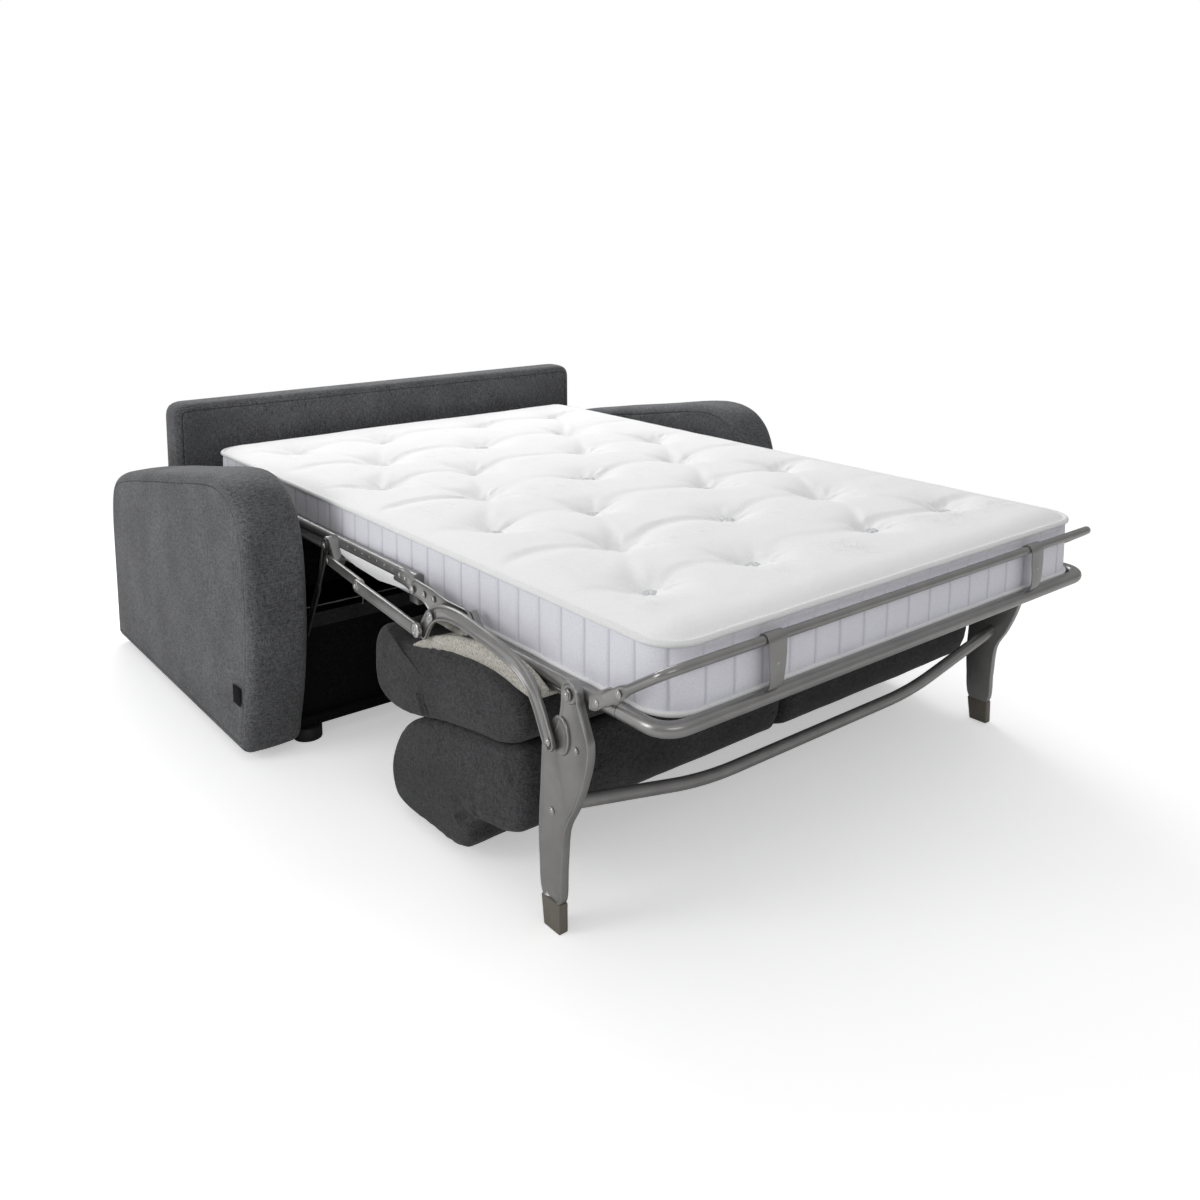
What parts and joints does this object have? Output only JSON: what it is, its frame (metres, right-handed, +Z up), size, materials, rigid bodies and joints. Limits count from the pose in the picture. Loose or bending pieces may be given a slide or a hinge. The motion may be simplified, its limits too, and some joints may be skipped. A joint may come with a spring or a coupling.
{
  "type": "sleeper sofa with pull out bed",
  "caption": "Two-seat sofa with low rounded arms, opened into a bed: tufted mattress on a three-fold steel frame, with the seat and back cushions hanging beneath its foot section.",
  "frame": {"origin": "bottom centre of the whole object's bounding box, on the floor", "axes": "+Z up; +X across the sofa towards the side that is on the right when facing it from the front; +Y towards the sofa's back, with the bed opened towards -Y"},
  "size_m": [1.6155, 2.0942, 0.667],
  "materials": {
    "charcoal_weave": "flecked charcoal weave",
    "black_lining": "matt black lining cloth",
    "black_foot": "matt black",
    "coated_steel": "glossy warm-grey powder coat",
    "white_ticking": "smooth white mattress cloth",
    "grey_felt": "pressed beige-grey felt",
    "woven_support": "woven polypropylene",
    "taupe_cap": "matt taupe"
  },
  "bodies": {
    "base": {"arm_left": "charcoal_weave", "arm_right": "charcoal_weave", "back_panel": "charcoal_weave", "fabric_tag": "black_lining", "front_rail": "black_lining", "base_liner": "black_lining", "foot_front_left": "black_foot", "foot_rear_left": "black_foot", "foot_front_right": "black_foot", "foot_rear_right": "black_foot", "pivot_bracket_left": "coated_steel", "pivot_bracket_right": "coated_steel"},
    "lower_swing_arms": {"lower_swing_arm_left": "coated_steel", "lower_swing_arm_right": "coated_steel"},
    "upper_swing_arms": {"upper_swing_arm_left": "coated_steel", "upper_swing_arm_right": "coated_steel"},
    "middle_section": {"middle_rail_left": "coated_steel", "middle_rail_right": "coated_steel", "middle_cross_strap_rear": "coated_steel", "middle_cross_strap_front": "coated_steel", "middle_mesh": "woven_support", "mattress_middle": "white_ticking", "mattress_head_bend": "white_ticking"},
    "head_section": {"head_rail_left": "coated_steel", "head_rail_right": "coated_steel", "head_cross_strap": "coated_steel", "head_mesh": "woven_support", "mattress_head": "white_ticking"},
    "fold_strip": {"fold_plate_left": "coated_steel", "fold_plate_right": "coated_steel", "front_fascia": "charcoal_weave", "mattress_foot_bend": "white_ticking"},
    "foot_section": {"foot_rail_left": "coated_steel", "foot_rail_right": "coated_steel", "foot_bar": "coated_steel", "retainer_bar": "coated_steel", "retainer_bracket_left": "coated_steel", "retainer_bracket_right": "coated_steel", "retainer_strap_left": "coated_steel", "retainer_strap_right": "coated_steel", "seat_runner_left": "coated_steel", "seat_runner_right": "coated_steel", "foot_mesh": "woven_support", "mattress_foot": "white_ticking"},
    "legs": {"leg_left": "coated_steel", "leg_right": "coated_steel", "leg_cross_tube": "coated_steel", "leg_cap_left": "taupe_cap", "leg_cap_right": "taupe_cap"},
    "long_arms": {"long_arm_left": "coated_steel", "long_arm_right": "coated_steel"},
    "short_stays": {"stay_short_left": "coated_steel", "stay_short_right": "coated_steel"},
    "long_stays": {"stay_long_left": "coated_steel", "stay_long_right": "coated_steel"},
    "seat": {"seat_cushion_left": "charcoal_weave", "seat_cushion_right": "charcoal_weave", "seat_felt_board": "grey_felt"},
    "backrest": {"back_cushion_left": "charcoal_weave", "back_cushion_right": "charcoal_weave"}
  },
  "joints": [
    {"name": "bed_fold", "type": "hinge", "parent": "base", "child": "lower_swing_arms", "pos_m": [0, 0.572, 0.095], "axis": [-1, 0, 0], "range_deg": [0, 143]},
    {"name": "upper_arm_turn", "type": "hinge", "parent": "lower_swing_arms", "child": "upper_swing_arms", "pos_m": [0, 0.227, 0.102], "axis": [1, 0, 0], "range_deg": [0, 236.35]},
    {"name": "carrier_turn", "type": "hinge", "parent": "upper_swing_arms", "child": "middle_section", "pos_m": [0, 0.043, 0.47], "axis": [-1, 0, 0], "range_deg": [0, 93.35]},
    {"name": "head_fold", "type": "hinge", "parent": "middle_section", "child": "head_section", "pos_m": [0, 0.392, 0.462], "axis": [1, 0, 0], "range_deg": [0, 89.38], "deforming": ["mattress_head_bend"]},
    {"name": "strip_fold", "type": "hinge", "parent": "middle_section", "child": "fold_strip", "pos_m": [0, -0.317, 0.462], "axis": [-1, 0, 0], "range_deg": [0, 89.38], "deforming": ["mattress_foot_bend"]},
    {"name": "foot_fold", "type": "hinge", "parent": "fold_strip", "child": "foot_section", "pos_m": [0, -0.517, 0.462], "axis": [-1, 0, 0], "range_deg": [0, 89.38], "deforming": ["mattress_foot_bend"]},
    {"name": "seat_slide", "type": "slide", "parent": "foot_section", "child": "seat", "axis": [0, -1, 0], "range_m": [0, 0.26416]},
    {"name": "backrest_turn", "type": "hinge", "parent": "seat", "child": "backrest", "pos_m": [0, -0.711, 0.27], "axis": [-1, 0, 0], "range_deg": [0, 99.31]},
    {"name": "leg_fold", "type": "hinge", "parent": "foot_section", "child": "legs", "pos_m": [0, -0.827, 0.424], "axis": [-1, 0, 0], "range_deg": [0, 112.22]},
    {"name": "long_arm_turn", "type": "hinge", "parent": "fold_strip", "child": "long_arms", "pos_m": [0, -0.413, 0.438], "axis": [-1, 0, 0], "range_deg": [0, 104.27]},
    {"name": "short_stay_turn", "type": "hinge", "parent": "middle_section", "child": "short_stays", "pos_m": [0, 0.028, 0.44], "axis": [-1, 0, 0], "range_deg": [0, 13.9]},
    {"name": "long_stay_turn", "type": "hinge", "parent": "short_stays", "child": "long_stays", "pos_m": [0, -0.124, 0.424], "axis": [-1, 0, 0], "range_deg": [0, 22.84]}
  ],
  "couplings": [
    {"joint": "upper_arm_turn", "follows": "bed_fold", "ratio": 1.6528},
    {"joint": "carrier_turn", "follows": "bed_fold", "ratio": 0.65278},
    {"joint": "head_fold", "follows": "bed_fold", "ratio": 0.625},
    {"joint": "strip_fold", "follows": "bed_fold", "ratio": 0.625},
    {"joint": "foot_fold", "follows": "bed_fold", "ratio": 0.625},
    {"joint": "seat_slide", "follows": "bed_fold", "m_per_rad": 0.10584},
    {"joint": "backrest_turn", "follows": "bed_fold", "ratio": 0.69444},
    {"joint": "leg_fold", "follows": "bed_fold", "ratio": 0.78472},
    {"joint": "long_arm_turn", "follows": "bed_fold", "ratio": 0.72917},
    {"joint": "short_stay_turn", "follows": "bed_fold", "ratio": 0.097222},
    {"joint": "long_stay_turn", "follows": "bed_fold", "ratio": 0.15972}
  ]
}
